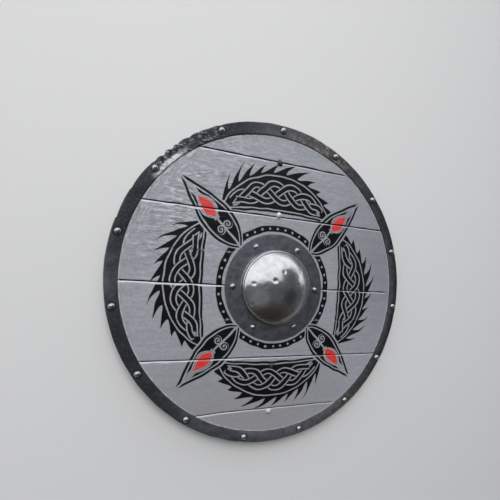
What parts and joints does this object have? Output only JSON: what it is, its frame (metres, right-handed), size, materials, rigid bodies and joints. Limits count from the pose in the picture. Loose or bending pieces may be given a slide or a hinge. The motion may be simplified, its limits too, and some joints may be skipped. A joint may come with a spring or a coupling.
{
  "type": "round wooden shield",
  "caption": "Flat round plank shield with a riveted steel edge strip, a hollow domed steel boss over the hand hole and a wooden grip batten across the back.",
  "frame": {"origin": "on the surface that the shield lies on, under the middle of the shield's outline, level with the grip batten's underside", "axes": "+Z out of the painted face, through the boss; +Y along the grip batten, towards the shield's top; +X along the planks, to the right seen from the front"},
  "size_m": [0.61, 0.61, 0.0673],
  "materials": {
    "painted_planks": "brushed grey paint with a black, pale grey and red painted ring, slightly worn, semi-gloss",
    "dark_rim": "blue-black scaled steel, hammered, satin",
    "boss_steel": "hammered steel, dome polished, flange satin",
    "rivet_steel": "polished domed heads",
    "painted_rivet": "rivets painted over with the board",
    "grip_wood": "oiled ash, satin"
  },
  "bodies": {
    "root": {"plank_1": "painted_planks", "plank_2": "painted_planks", "plank_3": "painted_planks", "plank_4": "painted_planks", "plank_5": "painted_planks", "plank_6": "painted_planks", "rim": "dark_rim", "boss": "boss_steel", "grip_batten": "grip_wood", "rim_rivet_01": "rivet_steel", "rim_rivet_02": "rivet_steel", "rim_rivet_03": "rivet_steel", "rim_rivet_04": "rivet_steel", "rim_rivet_05": "rivet_steel", "rim_rivet_06": "rivet_steel", "rim_rivet_07": "rivet_steel", "rim_rivet_08": "rivet_steel", "rim_rivet_09": "rivet_steel", "rim_rivet_10": "rivet_steel", "rim_rivet_11": "rivet_steel", "rim_rivet_12": "rivet_steel", "rim_rivet_13": "rivet_steel", "rim_rivet_14": "rivet_steel", "rim_rivet_15": "rivet_steel", "boss_rivet_1": "rivet_steel", "boss_rivet_2": "rivet_steel", "boss_rivet_3": "rivet_steel", "boss_rivet_4": "rivet_steel", "boss_rivet_5": "rivet_steel", "boss_rivet_6": "rivet_steel", "grip_rivet_1": "painted_rivet", "grip_rivet_2": "painted_rivet", "grip_rivet_3": "painted_rivet", "grip_rivet_4": "painted_rivet"}
  },
  "joints": []
}
